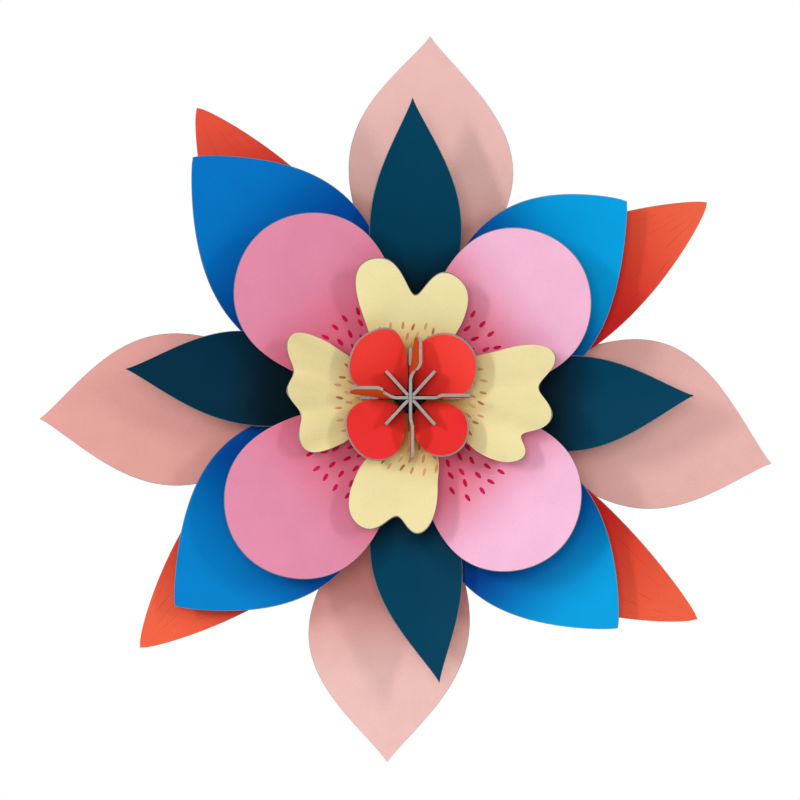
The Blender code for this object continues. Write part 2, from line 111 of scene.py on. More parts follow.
def new_material(name):
    """Return a new material, its tree and its Principled shader."""
    material = bpy.data.materials.new(name)
    material.use_nodes = True
    return material, material.node_tree, material.node_tree.nodes["Principled BSDF"]


def object_place(tree):
    """Return the place on the object, in metres."""
    return put(tree, "ShaderNodeTexCoord", {}).outputs["Object"]


def raised(tree, shader, height, depth, strength):
    """Turn a height value into a bump of a depth in metres."""
    inputs = {"Height": height, "Distance": depth, "Strength": strength}
    tree.links.new(put(tree, "ShaderNodeBump", inputs).outputs["Normal"], shader.inputs["Normal"])


def greyboard_colour(tree, place):
    """Return the colour and the grain of raw pulp: soft clouds, pale and dark fibres, grain."""
    clouds = ramp(tree, noise(tree, place, CLOUDS_PER_METRE), 0.3, 0.7)
    grain = ramp(tree, noise(tree, place, GRAINS_PER_METRE, 3.0), 0.36, 0.64)
    stretched = put(tree, "ShaderNodeMapping", {"Vector": place, "Rotation": FIBRE_TURN,
                                                "Scale": FIBRES_PER_METRE})
    fibres = noise(tree, stretched.outputs["Vector"], 1.0, 3.0)
    colour = mix(tree, calc(tree, "MULTIPLY", clouds, 0.35), ink(GREY), ink(GREY_DARK))
    colour = mix(tree, calc(tree, "MULTIPLY", grain, 0.30), colour, ink(GREY_LIGHT))
    dark_fibres = ramp(tree, fibres, 0.40, 0.30, 0.0, 0.5)
    pale_fibres = ramp(tree, fibres, 0.61, 0.70, 0.0, 0.5)
    colour = mix(tree, dark_fibres, colour, ink(GREY_DARK))
    return mix(tree, pale_fibres, colour, ink(GREY_LIGHT)), grain


def raw_greyboard():
    """Make the material of the unprinted faces."""
    material, tree, shader = new_material("raw_greyboard")
    colour, grain = greyboard_colour(tree, object_place(tree))
    tree.links.new(colour, shader.inputs["Base Color"])
    shader.inputs["Roughness"].default_value = 0.88
    shader.inputs["Specular IOR Level"].default_value = 0.25
    raised(tree, shader, grain, PULP_DEPTH, 0.6)
    return material


def cut_greyboard():
    """Make the material of die-cut edges: grey plies of pulp that lie along the sheet."""
    material, tree, shader = new_material("cut_greyboard")
    place = object_place(tree)
    colour, grain = greyboard_colour(tree, place)
    flattened = put(tree, "ShaderNodeMapping", {"Vector": place, "Scale": PLIES_PER_METRE})
    plies = noise(tree, flattened.outputs["Vector"], 1.0)
    colour = mix(tree, ramp(tree, plies, 0.42, 0.62, 0.0, 0.35), colour, ink(GREY_DARK))
    tree.links.new(colour, shader.inputs["Base Color"])
    shader.inputs["Roughness"].default_value = 0.92
    shader.inputs["Specular IOR Level"].default_value = 0.2
    raised(tree, shader, calc(tree, "ADD", plies, grain), PLY_DEPTH, 0.5)
    return material


bare_board = raw_greyboard()
cut_edge = cut_greyboard()
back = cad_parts["back_board"]
back.data.materials.clear()
back.data.materials.append(bare_board)


# Upright boards
# Four boards of the same 2 mm stock that cross on the axis, half lapped into one another, and
# stand with their tabs in the back board. Both faces are printed a burnt orange that darkens
# towards the wall, a painted shade where the petals shade the boards, and the die-cut edges are
# raw, which makes the grey star and the grey outlines of the four bent tongues.

BURNT_ORANGE = (205, 84, 34)
# Painted shade: the orange darkens to the shaded one between these heights, towards the wall.
BURNT_ORANGE_SHADED = (150, 52, 20)
SHADE_DEEPENS = (-0.112, -0.085)
INK_CLOUDS_PER_METRE = 45.0
TOOTH_PER_METRE = 1500.0
DENTS_PER_METRE = 420.0
TOOTH_DEPTH = 0.00006
SATIN_SHINE = 0.03
ROUGH_RAW = 0.9
ROUGH_PRINTED = 0.42
UPRIGHTS = {"horizontal_board": 0.0, "rising_diagonal_board": 45.0,
            "vertical_board": 90.0, "falling_diagonal_board": 135.0}


def satin(tree, shader, place, colour):
    """Finish a printed face: uneven ink, the board's tooth under it, and a satin lacquer."""
    clouds = noise(tree, place, INK_CLOUDS_PER_METRE)
    tooth = noise(tree, place, TOOTH_PER_METRE, 3.0)
    uneven = calc(tree, "ADD", ramp(tree, clouds, 0.3, 0.7, 0.955, 1.0),
                  ramp(tree, tooth, 0.35, 0.65, -0.03, 0.03))
    tint = put(tree, "ShaderNodeCombineColor", {0: uneven, 1: uneven, 2: uneven})
    tree.links.new(mix(tree, 1.0, colour, tint.outputs["Color"], "MULTIPLY"),
                   shader.inputs["Base Color"])
    tree.links.new(ramp(tree, tooth, 0.3, 0.7, 0.38, 0.5), shader.inputs["Roughness"])
    shader.inputs["Specular IOR Level"].default_value = SATIN_SHINE
    dents = noise(tree, place, DENTS_PER_METRE)
    raised(tree, shader, calc(tree, "ADD", tooth, dents), TOOTH_DEPTH, 0.28)


def printed_upright(name, angle):
    """Make an upright's material: printed where the surface looks across the ray, else raw.

    The share of print is how far the true normal lies along the board's own normal. The print
    darkens away from the front, towards the wall: painted shade where the petals shade the board.
    """
    material, tree, shader = new_material(f"{name}_print")
    place = object_place(tree)
    turn = math.radians(angle)
    across = (-math.sin(turn), 0.0, math.cos(turn))
    normal = put(tree, "ShaderNodeNewGeometry", {}).outputs["True Normal"]
    facing = put(tree, "ShaderNodeVectorMath", {0: normal, 1: across}, operation="DOT_PRODUCT")
    face = ramp(tree, calc(tree, "ABSOLUTE", facing.outputs["Value"]), 0.6, 0.7)
    height = put(tree, "ShaderNodeSeparateXYZ", {"Vector": place}).outputs["Y"]
    # painted shade that darkens the print towards the wall
    depth = ramp(tree, height, *SHADE_DEEPENS)
    printed = mix(tree, depth, ink(BURNT_ORANGE), ink(BURNT_ORANGE_SHADED))
    raw, _ = greyboard_colour(tree, place)
    satin(tree, shader, place, mix(tree, face, raw, printed))
    rough = put(tree, "ShaderNodeMapRange", {"Value": face, "To Min": ROUGH_RAW,
                                             "To Max": ROUGH_PRINTED})
    tree.links.new(rough.outputs["Result"], shader.inputs["Roughness"])
    return material


for name, angle in UPRIGHTS.items():
    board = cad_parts[name]
    board.data.materials.clear()
    board.data.materials.append(printed_upright(name, angle))


# Dusty pink petals
# The rearmost ring, four broad pointed petals on the upright and level rays. Each is die cut
# from 2 mm greyboard with a printed front and a raw back, has a slit from its foot to its root,
# and is pushed over its ray. Every petal was bent by hand, so each turns and curls differently.

BOARD = 0.0020
SLACK = 0.0003
SLOT_BITE = 0.008
FOOT_ROWS = 8
SHEET_ROWS = 60
SIDE_LINES = 24
WELD_DISTANCE = 0.00001
SHARP_DEGREES = 40
PRESSED_RIM = (0.992, 1.0)
PRESSED_SHARE = 0.18
RAY_ANGLE = {
    "right": 0, "upper_right": 45, "top": 90, "upper_left": 135,
    "left": 180, "lower_left": 225, "bottom": 270, "lower_right": 315,
}
# Seat is a height over the wall, root and reach are distances from the axis, and rise and turn
# are in degrees. A petal is longer than its ring's reach or, below 0, shorter. Left and right are
# its half widths, bend is how far its tip is swept aside, and its ink is its share of painted
# shade, from the lit colour at 0 to the shaded one at 1, more where the lamps light it less.
# Where a petal has a value for it, the painted shade at its base reaches that much further out.
DUSTY_RING = dict(seat=0.0120, root=0.032, reach=0.2510, rise=6.5, lift=0.004,
                  foot_half=0.006, belly=0.626, taper=1.14, turn_length=0.045)
DUSTY_PETALS = {
    "right": dict(foot=0.009, longer=0.001, left=0.062, right=0.0485, turn=-10.0, bend=-0.007,
                  ink=0.4),
    "top": dict(foot=0.009, longer=-0.003, left=0.0495, right=0.059, turn=-5.5, bend=0.007,
                ink=0.1),
    "left": dict(foot=0.009, longer=0.003, left=0.048, right=0.052, turn=5.5, bend=-0.007,
                 ink=0.9),
    "bottom": dict(foot=0.009, longer=-0.001, left=0.045, right=0.0605, turn=-1.5, bend=-0.010,
                   ink=0.0, shade_further=0.040),
}
# Painted shade: a petal takes the shaded colour by its ink, more where the lamps light it less,
# and the darker base is painted shade from the rings in front, further out on the bottom petal.
DUSTY_LIT = (240, 195, 188)
DUSTY_SHADED = (226, 160, 152)
DUSTY_SHADED_BASE = (230, 146, 138)
DUSTY_FADE = (0.07, 0.16)


def smooth(value):
    """Rise from 0 at 0 to 1 at 1, flat at both ends: 3 v^2 - 2 v^3."""
    value = np.clip(value, 0.0, 1.0)
    return value * value * (3.0 - 2.0 * value)


def line_shares(half_count):
    """Return the shares of the half width of the lines along a petal, right side to left side."""
    half = np.linspace(0.5 / half_count, 1.0, half_count)
    return np.concatenate([-half[::-1], half])


def aside_of_lines(shares, edge, along, ring):
    """Return how far aside each line runs: beside the slit up to the root, then evenly spread.

    The innermost lines keep half a slit from the middle and ease over to their own share of the
    half width beyond the root. The others are spread evenly between them and the edge.
    """
    slit = BOARD / 2 + SLACK
    first = np.abs(shares).min()
    ease = smooth((along - ring["root"] - SLOT_BITE) / (2 * SLOT_BITE))
    inner = slit + ease * (first * edge - slit)
    outer = (np.abs(shares) - first) / (1.0 - first) * (edge - inner)
    return np.sign(shares) * (inner + outer)


def blade(ring, bent, round_end):
    """Return the flat pattern of a petal with one midline: along, aside, shares and curl as grids.

    The half width is side times sin(pi part^k)^taper, where part is the share of the length and
    k puts the widest place at the belly. A petal cut to another curve than its ring has its own
    belly and taper. A narrow foot is added, and near the axis the width is held back so that the
    petal clears the next board. The tip is swept aside by the square of the way from the root.
    The curl is a line's share times the half width there over the widest one. Rows crowd towards
    a round end.
    """
    out = np.linspace(0.0, 1.0, SHEET_ROWS)
    if round_end:
        out = np.sin(out * np.pi / 2)
    length = ring["reach"] + bent["longer"] - ring["root"]
    foot = np.linspace(bent["foot"], ring["root"], FOOT_ROWS, endpoint=False)
    along = np.concatenate([foot, ring["root"] + length * out])[:, None]
    shares = line_shares(SIDE_LINES)[None, :]
    part = (along - bent["foot"]) / (ring["root"] + length - bent["foot"])
    sharpness = math.log(0.5) / math.log(bent.get("belly", ring["belly"]))
    taper = bent.get("taper", ring["taper"])
    swell = np.maximum(np.sin(np.pi * part ** sharpness), 0.0) ** taper
    neck = (BOARD / 2 + SLACK) * math.sqrt(2) + BOARD / 2
    half = np.where(shares > 0, bent["left"], bent["right"])
    edge = np.minimum(ring["foot_half"] * (1 - part) + half * swell, along - neck)
    aside = aside_of_lines(shares, edge, along, ring)
    aside = aside + bent["bend"] * (np.maximum(along - ring["root"], 0.0) / length) ** 2
    return np.broadcast_arrays(along, aside, shares, shares * edge / half)


def bend_sheet(ring, ray, bent, along, aside, curl, wave=0.0):
    """Return the points of a flat pattern once it is bent and stands in its slot.

    Up to the root the sheet lies in the plane of the slot. Beyond it the sheet turns about the
    root, rises from the wall with the ring's slope, its long edges lift by the square of their
    curl, and the wave grows with the square of the distance.
    """
    from_root = along - ring["root"]
    out = np.maximum(from_root, 0.0)
    ramp_up = smooth(out / ring["turn_length"])
    turn = math.radians(bent["turn"]) * ramp_up
    x = ring["root"] + from_root * np.cos(turn) - aside * np.sin(turn)
    y = from_root * np.sin(turn) + aside * np.cos(turn)
    height = ring["seat"] + (x - ring["root"]) * math.tan(math.radians(ring["rise"]))
    height = height + ring["lift"] * ramp_up * curl ** 2
    height = height + wave * (out / (ring["reach"] + bent["longer"] - ring["root"])) ** 2
    angle = math.radians(RAY_ANGLE[ray])
    return np.stack([x * math.cos(angle) - y * math.sin(angle), -height,
                     x * math.sin(angle) + y * math.cos(angle)], axis=-1)


def board_piece(name, points, along, aside, shares, bent, printed):
    """Make a piece of 2 mm board of a bent sheet, printed in front and raw behind and around.

    The sheet is the grid of points without the cells in the slit. Its flat pattern, in metres,
    is kept as its UV map. Attributes keep the lines' shares, the petal's ink, which is its share
    of painted shade, how much further out its painted shade at the base reaches, and its share
    of the seeds.
    """
    rows, lines = shares.shape
    index = np.arange(rows * lines).reshape(rows, lines)
    cells = np.stack([index[:-1, :-1], index[1:, :-1], index[1:, 1:], index[:-1, 1:]], axis=-1)
    kept = np.ones((rows - 1, lines - 1), bool)
    kept[:FOOT_ROWS, lines // 2 - 1] = False
    cells = cells[kept]
    mesh = bpy.data.meshes.new(name)
    mesh.from_pydata(points.reshape(-1, 3).tolist(), [], cells.tolist())
    flat = np.stack([aside, along], axis=-1).reshape(-1, 2)
    pattern = mesh.uv_layers.new(name="pattern")
    pattern.data.foreach_set("uv", flat[cells.ravel()].ravel())
    # ink and the next value carry the petal's painted shade
    traits = {"share": shares, "ink": bent["ink"], "shade_further": bent.get("shade_further", 0.0),
              "seeded": bent.get("seeded", 1.0)}
    for label, values in traits.items():
        attribute = mesh.attributes.new(label, "FLOAT", "POINT")
        attribute.data.foreach_set("value", np.broadcast_to(values, shares.shape).flatten())
    sheet = bpy.data.objects.new(name, mesh)
    bpy.context.scene.collection.objects.link(sheet)
    for material in (printed, cut_edge, bare_board):
        mesh.materials.append(material)
    weld = sheet.modifiers.new("tip", "WELD")
    weld.merge_threshold = WELD_DISTANCE
    solid = sheet.modifiers.new("board", "SOLIDIFY")
    solid.thickness = BOARD
    solid.offset = 0.0
    solid.material_offset_rim = 1
    solid.material_offset = 2
    evaluated = sheet.evaluated_get(bpy.context.evaluated_depsgraph_get())
    thick = bpy.data.meshes.new_from_object(evaluated)
    sheet.modifiers.clear()
    sheet.data = thick
    thick.shade_smooth()
    thick.set_sharp_from_angle(angle=math.radians(SHARP_DEGREES))
    bpy.data.meshes.remove(mesh)
    return sheet


def trait(tree, name):
    """Return what a petal's mesh keeps under this name."""
    return put(tree, "ShaderNodeAttribute", {}, attribute_name=name).outputs["Fac"]


def printed_board(name, lit_side, shaded_side, painted_base, fade, extra=None):
    """Make the material of a printed face, whose painted base fades into the outer colour.

    The outer colour lies between a lit and a shaded colour by the petal's ink, a painted shade for
    petals that the lamps light less. The base colour near the axis is painted shade where the
    rings in front shade the petal, and on the red petals a painted light. fade gives the distances
    from the axis, in metres, between which the base ends; on a petal whose painted shade reaches
    further it ends that much further out. extra draws a pattern over the ground: it takes the
    tree, the flat pattern and the colour, and returns the new colour. The die pressed the ink thin
    along the rim.
    """
    material, tree, shader = new_material(f"{name}_print")
    place = object_place(tree)
    flat = put(tree, "ShaderNodeUVMap", {}, uv_map="pattern").outputs["UV"]
    along = put(tree, "ShaderNodeSeparateXYZ", {"Vector": flat}).outputs["Y"]
    # Painted shade: the ink value carries the outer colour from the lit one to the shaded one.
    outer = mix(tree, trait(tree, "ink"), ink(lit_side), ink(shaded_side))
    # Painted shade near the axis, painted light on the red petals, carried further out per petal.
    along = calc(tree, "SUBTRACT", along, trait(tree, "shade_further"))
    colour = mix(tree, ramp(tree, along, *fade), ink(painted_base), outer)
    if extra:
        colour = extra(tree, flat, colour)
    from_middle = calc(tree, "ABSOLUTE", trait(tree, "share"))
    pressed = ramp(tree, from_middle, *PRESSED_RIM, 0.0, PRESSED_SHARE)
    satin(tree, shader, place, mix(tree, pressed, colour, ink(GREY_LIGHT)))
    return material


def blade_ring(ring_name, ring, petals, printed, round_end=False):
    """Make the petals of a ring and put each in the place of its solid."""
    for ray, bent in petals.items():
        along, aside, shares, curl = blade(ring, bent, round_end)
        points = bend_sheet(ring, ray, bent, along, aside, curl)
        node = f"{ring_name}_{ray}"
        petal = board_piece(f"{node}_board", points, along, aside, shares, bent, printed)
        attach(petal, "root")
        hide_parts(node)


blade_ring("dusty_pink_petal", DUSTY_RING, DUSTY_PETALS,
           printed_board("dusty_pink", DUSTY_LIT, DUSTY_SHADED, DUSTY_SHADED_BASE, DUSTY_FADE))


# Orange leaves
# Narrow pointed leaves on the diagonal rays, printed orange-red, with fine darker veins that run
# from the base to the tip and are broken here and there, as on a real leaf.

ORANGE_RING = dict(seat=0.0240, root=0.030, reach=0.2450, rise=9.0, lift=0.003,
                   foot_half=0.006, belly=0.463, taper=0.80, turn_length=0.045)
ORANGE_LEAVES = {
    "upper_right": dict(foot=0.009, longer=-0.004, left=0.032, right=0.044, turn=-9.5,
                        bend=-0.014, ink=0.0),
    "upper_left": dict(foot=0.009, longer=-0.001, left=0.043, right=0.037, turn=-8.0,
                       bend=-0.007, ink=0.9),
    "lower_left": dict(foot=0.009, longer=0.004, left=0.036, right=0.047, turn=-1.5,
                       bend=-0.004, ink=0.0),
    "lower_right": dict(foot=0.009, longer=0.0005, left=0.027, right=0.051, turn=5.5,
                        bend=0.011, ink=0.1),
}
# Painted shade: the upper left leaf takes the shaded orange, where the lamps light it less, and
# the deep red base is painted shade where the blue petals in front shade the leaves.
ORANGE_LIT = (243, 100, 68)
ORANGE_SHADED = (226, 78, 58)
ORANGE_SHADED_BASE = (214, 38, 34)
ORANGE_FADE = (0.14, 0.235)
VEIN = (150, 28, 24)
VEINS_ACROSS = 3.5
VEIN_WAVE = 0.8
VEIN_WAVES_PER_METRE = 30.0
VEIN_BREAKS_PER_METRE = (260.0, 30.0, 1.0)
VEIN_HALF_WIDTH = 0.035
VEIN_STRENGTH = 0.62


def veins(tree, flat, colour):
    """Draw veins at even shares of the half width, so that they meet at the base and the tip.

    A vein runs where the share times the veins across, bowed by a slow wave, is half way between
    two whole numbers.
    """
    wave = calc(tree, "MULTIPLY", noise(tree, flat, VEIN_WAVES_PER_METRE), VEIN_WAVE)
    bowed = calc(tree, "MULTIPLY_ADD", trait(tree, "share"), VEINS_ACROSS, wave)
    off = calc(tree, "ABSOLUTE", calc(tree, "SUBTRACT", calc(tree, "FRACT", bowed), 0.5))
    line = ramp(tree, off, VEIN_HALF_WIDTH, 0.0)
    stretched = put(tree, "ShaderNodeMapping", {"Vector": flat, "Scale": VEIN_BREAKS_PER_METRE})
    broken = ramp(tree, noise(tree, stretched.outputs["Vector"], 1.0), 0.46, 0.62)
    strength = calc(tree, "MULTIPLY", calc(tree, "MULTIPLY", line, broken), VEIN_STRENGTH)
    return mix(tree, strength, colour, ink(VEIN))


blade_ring("orange_leaf", ORANGE_RING, ORANGE_LEAVES,
           printed_board("orange_red", ORANGE_LIT, ORANGE_SHADED, ORANGE_SHADED_BASE, ORANGE_FADE, veins))


# Blue petals
# Broad pointed petals on the diagonal rays, printed in one blue. Painted shade deepens it towards
# the base, where the pink petals shade them, and deepens the two left petals, which the lamps
# light less. The painted shade at the base reaches a little less far out on the upper right petal
# and further on the lower right.

BLUE_RING = dict(seat=0.0360, root=0.030, reach=0.2081, rise=12.0, lift=0.004,
                 foot_half=0.006, belly=0.538, taper=0.88, turn_length=0.045)
BLUE_PETALS = {
    "upper_right": dict(foot=0.009, longer=-0.014, left=0.0575, right=0.0505, turn=-13.0,
                        bend=0.028, ink=0.0, shade_further=-0.018),
    "upper_left": dict(foot=0.009, longer=0.009, left=0.0485, right=0.060, turn=0.0,
                       bend=-0.011, ink=1.0),
    "lower_left": dict(foot=0.009, longer=0.0025, left=0.0555, right=0.0555, turn=-7.0,
                       bend=0.009, ink=0.75),
    "lower_right": dict(foot=0.009, longer=0.0, left=0.044, right=0.0555, turn=-3.0,
                        bend=-0.0015, ink=0.0, shade_further=0.008),
}
BLUE_LIT = (0, 162, 228)
BLUE_SHADED = (0, 116, 196)
BLUE_SHADED_BASE = (0, 72, 158)
BLUE_FADE = (0.11, 0.18)

blade_ring("blue_petal", BLUE_RING, BLUE_PETALS,
           printed_board("blue", BLUE_LIT, BLUE_SHADED, BLUE_SHADED_BASE, BLUE_FADE))


# Teal leaves
# Slim dark leaves on the upright and level rays, printed a deep teal. Painted shade makes it
# almost black at the base, where the petals in front shade them, and deeper on the left leaf,
# which the lamps light less.

TEAL_RING = dict(seat=0.0480, root=0.028, reach=0.1920, rise=13.0, lift=0.003,
                 foot_half=0.006, belly=0.556, taper=1.17, turn_length=0.045)
TEAL_LEAVES = {
    "right": dict(foot=0.009, longer=-0.003, left=0.027, right=0.032, turn=-2.5, bend=0.0085,
                  ink=0.0),
    "top": dict(foot=0.009, longer=0.008, left=0.0255, right=0.031, turn=-0.5, bend=0.0,
                ink=0.1, shade_further=-0.020),
    "left": dict(foot=0.009, longer=-0.001, left=0.0235, right=0.034, turn=-4.5, bend=-0.0065,
                 ink=1.0),
    "bottom": dict(foot=0.009, longer=-0.001, left=0.0245, right=0.031, turn=3.5, bend=0.0095,
                   ink=0.0, shade_further=-0.020),
}
TEAL_LIT = (0, 63, 90)
TEAL_SHADED = (0, 45, 67)
TEAL_SHADED_BASE = (8, 28, 38)
TEAL_FADE = (0.09, 0.13)

blade_ring("teal_leaf", TEAL_RING, TEAL_LEAVES,
           printed_board("teal", TEAL_LIT, TEAL_SHADED, TEAL_SHADED_BASE, TEAL_FADE))


# Round pink petals
# Four nearly round petals on the diagonal rays, printed pink with a fan of crimson seeds that
# opens from the heart of the flower. The two upper petals have fewer seeds.

PINK_RING = dict(seat=0.0621, root=0.026, reach=0.1456, rise=18.0, lift=0.004,
                 foot_half=0.005, belly=0.645, taper=0.49, turn_length=0.045)
PINK_PETALS = {
    "upper_right": dict(foot=0.009, longer=-0.002, left=0.050, right=0.0475, turn=-5.5,
                        bend=0.0005, ink=0.12, seeded=0.75),
    "upper_left": dict(foot=0.009, longer=0.002, left=0.051, right=0.0505, turn=-3.5,
                       bend=0.0, ink=1.0, seeded=0.75),
    "lower_left": dict(foot=0.009, longer=0.005, left=0.051, right=0.0505, turn=-2.0,
                       bend=0.0, ink=0.95),
    "lower_right": dict(foot=0.009, longer=-0.005, left=0.0485, right=0.049, turn=-1.0,
                        bend=0.0, ink=0.0),
}
# Painted shade: the two left petals take the shaded pink, where the lamps light them less, and the
# redder base is painted shade where the yellow petals shade them.
PINK_LIT = (249, 192, 222)
PINK_SHADED = (226, 139, 168)
PINK_SHADED_BASE = (232, 106, 132)
PINK_FADE = (0.05, 0.11)
CRIMSON = (196, 4, 56)
CRIMSON_PALE = (212, 28, 78)
PINK_SEEDS = dict(first=0.042, step=0.0090, count=5, side_step=0.0094, fan=0.36,
                  length=0.0056, width=0.0027)
SEED_OUT = 0.0022
SEED_ASIDE = 0.0020
SEED_TILT = 0.5
SEED_POINT = 0.2
SEED_BLUR = 0.00012


def seeds(tree, flat, colour, layout, dark, pale):
    """Print a fan of seeds that point away from the axis, each a little out of line.

    Seeds stand on arcs around the axis, a step apart, and every other arc is shifted by half a
    place. Within its place, a seed's half width is sqrt(1 - a^2)(1 - point a) of its widest,
    where a runs from -1 at its inner end to 1 at its outer one. White noise of its arc and place
    moves it, tilts it and picks its shade. A petal's own share of the seeds narrows and shortens
    the fan.
    """
    split = put(tree, "ShaderNodeSeparateXYZ", {"Vector": flat})
    aside, along = split.outputs["X"], split.outputs["Y"]
    distance = put(tree, "ShaderNodeVectorMath", {0: flat}, operation="LENGTH").outputs["Value"]
    angle = calc(tree, "ARCTAN2", aside, along)
    from_first = calc(tree, "SUBTRACT", distance, layout["first"])
    arc = calc(tree, "ROUND", calc(tree, "DIVIDE", from_first, layout["step"]))
    radius = calc(tree, "MULTIPLY_ADD", arc, layout["step"], layout["first"])
    shift = calc(tree, "MULTIPLY", calc(tree, "MODULO", calc(tree, "ABSOLUTE", arc), 2.0), 0.5)
    places = calc(tree, "DIVIDE", calc(tree, "MULTIPLY", angle, radius), layout["side_step"])
    place = calc(tree, "ADD", places, shift)
    number = calc(tree, "ROUND", place)
    cell = put(tree, "ShaderNodeCombineXYZ", {"X": arc, "Y": number})
    chance = put(tree, "ShaderNodeTexWhiteNoise", {"Vector": cell.outputs["Vector"]},
                 noise_dimensions="2D")
    parts = put(tree, "ShaderNodeSeparateColor", {"Color": chance.outputs["Color"]})
    moved, nudged, tilt = [
        calc(tree, "MULTIPLY", calc(tree, "SUBTRACT", parts.outputs[part], 0.5), most)
        for part, most in enumerate((SEED_OUT, SEED_ASIDE, SEED_TILT))]
    from_middle = calc(tree, "SUBTRACT", calc(tree, "SUBTRACT", distance, radius), moved)
    sideways = calc(tree, "MULTIPLY", calc(tree, "SUBTRACT", place, number), layout["side_step"])
    sideways = calc(tree, "SUBTRACT", sideways, nudged)
    sideways = calc(tree, "ABSOLUTE", calc(tree, "MULTIPLY_ADD", from_middle, tilt, sideways))
    length = calc(tree, "DIVIDE", from_middle, layout["length"] / 2)
    rounded = calc(tree, "SUBTRACT", 1.0, calc(tree, "MULTIPLY", length, length))
    rounded = calc(tree, "SQRT", calc(tree, "MAXIMUM", rounded, 0.0))
    pointed = calc(tree, "MULTIPLY_ADD", length, -SEED_POINT, 1.0)
    half = calc(tree, "MULTIPLY", calc(tree, "MULTIPLY", rounded, pointed), layout["width"] / 2)
    inside = ramp(tree, calc(tree, "SUBTRACT", half, sideways), 0.0, SEED_BLUR)
    within = calc(tree, "LESS_THAN", calc(tree, "ABSOLUTE", length), 1.0)
    middle = calc(tree, "SUBTRACT", number, shift)
    off_middle = calc(tree, "DIVIDE", calc(tree, "MULTIPLY", middle, layout["side_step"]), radius)
    seeded = trait(tree, "seeded")
    in_fan = calc(tree, "LESS_THAN", calc(tree, "ABSOLUTE", off_middle),
                  calc(tree, "MULTIPLY", seeded, layout["fan"]))
    past_first = calc(tree, "GREATER_THAN", arc, -0.5)
    before_last = calc(tree, "LESS_THAN", arc, calc(tree, "MULTIPLY", seeded, layout["count"]))
    on_arc = calc(tree, "MULTIPLY", past_first, before_last)
    shown = calc(tree, "MULTIPLY", calc(tree, "MULTIPLY", inside, within),
                 calc(tree, "MULTIPLY", in_fan, on_arc))
    shade = mix(tree, chance.outputs["Value"], ink(dark), ink(pale))
    return mix(tree, shown, colour, shade)


def crimson_seeds(tree, flat, colour):
    """Print the seeds of a pink petal."""
    return seeds(tree, flat, colour, PINK_SEEDS, CRIMSON, CRIMSON_PALE)


blade_ring("round_pink_petal", PINK_RING, PINK_PETALS,
           printed_board("round_pink", PINK_LIT, PINK_SHADED, PINK_SHADED_BASE, PINK_FADE,
                         crimson_seeds),
           round_end=True)


# Yellow petals
# Four petals on the upright and level rays that open like fans from a narrow foot: two heart
# shaped ones, and two with three lobes that are fluted by hand. Small brown seeds are printed
# near the heart of the flower.

YELLOW_RING = dict(seat=0.0771, root=0.023, reach=0.0936, rise=26.0, lift=0.003,
                   turn_length=0.030)
YELLOW_PETALS = {
    "right": dict(longer=0.0019, turn=-9.0, spread=40.0, shoulder=6.0, skew=0.14, flute=0.004,
                  notches=((11.5, 0.15, 8.0), (-12.0, 0.14, 5.5)), ink=0.3),
    "top": dict(longer=-0.0031, turn=-4.5, spread=38.0, shoulder=7.0, skew=0.10, flute=0.0,
                notches=((0.5, 0.25, 7.7),), ink=0.0),
    "left": dict(longer=-0.0086, turn=0.0, spread=37.7, shoulder=11.5, skew=-0.104, flute=0.004,
                 notches=((8.2, 0.116, 9.6), (-12.7, 0.10, 8.0)), ink=0.8),
    "bottom": dict(longer=-0.0006, turn=-14.0, spread=34.0, shoulder=4.0, skew=-0.02, flute=0.0,
                   notches=((3.5, 0.15, 6.7),), ink=0.3),
}
FAN_FOOT = 0.011
FAN_SIDE = 0.9
FAN_LINES = 44
# Painted shade: the left petal takes most of the shaded yellow, where the lamps light it less, and
# the ochre base is painted shade, tinted orange, where the red petals shade them.
YELLOW_LIT = (243, 231, 173)
YELLOW_SHADED = (236, 220, 162)
YELLOW_SHADED_BASE = (226, 170, 84)
YELLOW_FADE = (0.024, 0.056)
SEED_BROWN = (186, 104, 66)
SEED_SALMON = (226, 166, 126)
YELLOW_SEEDS = dict(first=0.034, step=0.0072, count=3, side_step=0.0076, fan=0.50,
                    length=0.0050, width=0.0020)


def fan(ring, bent):
    """Return the flat pattern of a petal that opens like a fan, and the angles of its lines.

    At an angle from the midline it reaches out by reach times 1 - |angle / spread|^shoulder,
    skewed to one side, less a bell-shaped notch for each place in its outer edge. Its sides are
    cut at a fixed share of the spread.
    """
    shares = line_shares(FAN_LINES)[None, :]
    angles = shares * FAN_SIDE * bent["spread"]
    longest = ring["reach"] + bent["longer"]
    rim = longest * (1 - np.abs(angles / bent["spread"]) ** bent["shoulder"])
    rim = rim * (1 + bent["skew"] * angles / bent["spread"])
    for place, depth, width in bent["notches"]:
        rim = rim * (1 - depth * np.exp(-((angles - place) / width) ** 2))
    foot = np.linspace(FAN_FOOT, ring["root"], FOOT_ROWS, endpoint=False)[:, None]
    out = np.linspace(0.0, 1.0, SHEET_ROWS)[:, None]
    radius = np.concatenate([foot + 0.0 * rim, ring["root"] + (rim - ring["root"]) * out])
    side = math.radians(FAN_SIDE * bent["spread"])
    ease = smooth((radius - ring["root"] - SLOT_BITE) / (2 * SLOT_BITE))
    even = np.abs(aside_of_lines(shares, radius * math.sin(side), 0.0, ring))
    spread = radius * np.sin(np.abs(shares) * side)
    aside = np.sign(shares) * (even + ease * (spread - even))
    along = radius * (1 + ease * (np.cos(np.abs(shares) * side) - 1))
    return np.broadcast_arrays(along, aside, shares, angles)


def flutes(bent, angles):
    """Return the waves of a fluted petal: a cosine with its troughs in the notches."""
    if not bent["flute"]:
        return 0.0
    first, last = bent["notches"][0][0], bent["notches"][-1][0]
    return -bent["flute"] * np.cos(2 * np.pi * (angles - first) / (first - last))


